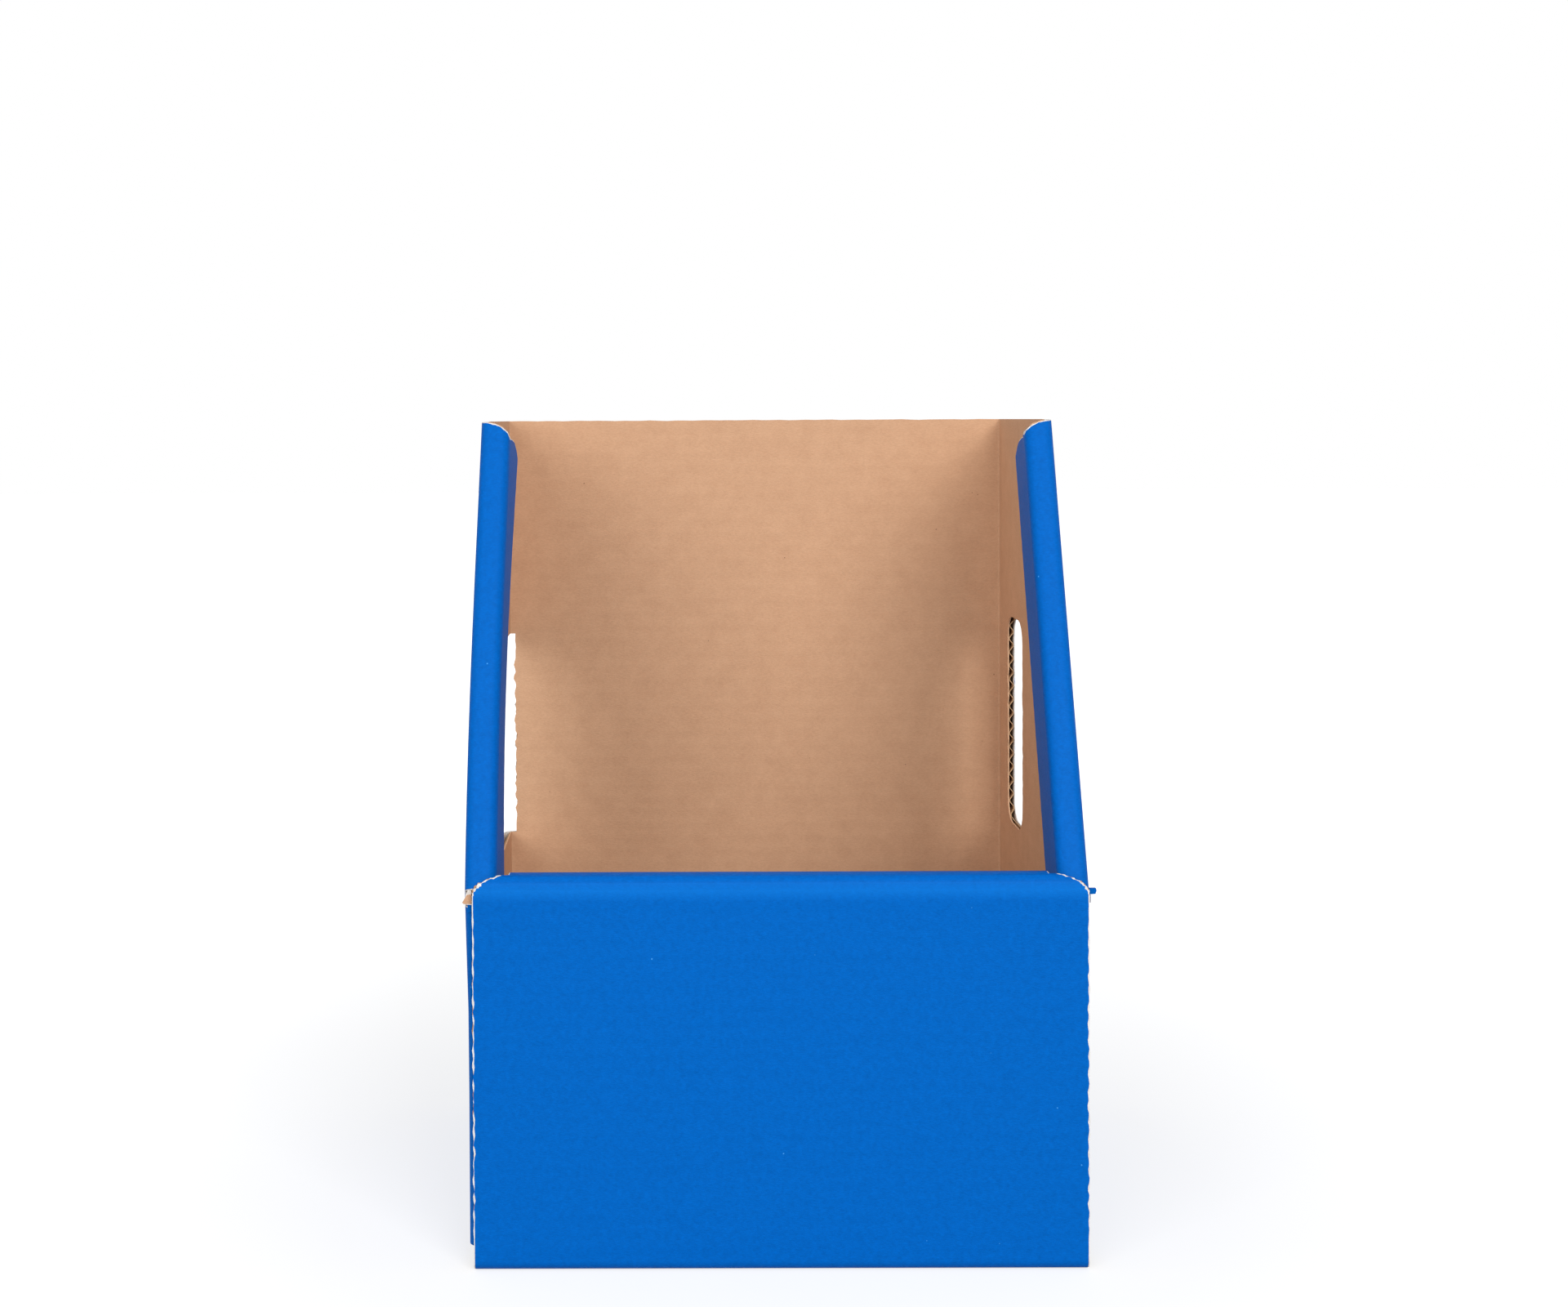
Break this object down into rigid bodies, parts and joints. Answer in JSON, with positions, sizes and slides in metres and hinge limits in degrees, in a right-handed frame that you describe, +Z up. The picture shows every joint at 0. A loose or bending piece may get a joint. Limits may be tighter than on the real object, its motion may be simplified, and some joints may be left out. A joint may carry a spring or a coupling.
{
  "type": "cardboard brochure holder",
  "caption": "Open-topped counter brochure holder folded from one sheet of corrugated board, with a low rolled front, sloping hemmed sides and slotted back corners.",
  "frame": {"origin": "middle of the footprint, on the surface that the holder stands on", "axes": "+Z up; the low front panel faces -Y; +X to the right as seen from the front"},
  "size_m": [0.1164, 0.095, 0.1585],
  "materials": {
    "printed_board": "blue printed outer liner with a fine satin mottle, plain kraft brown inside, pale fluted raw edges"
  },
  "bodies": {
    "root": {"folded_sheet": "printed_board"}
  },
  "joints": []
}
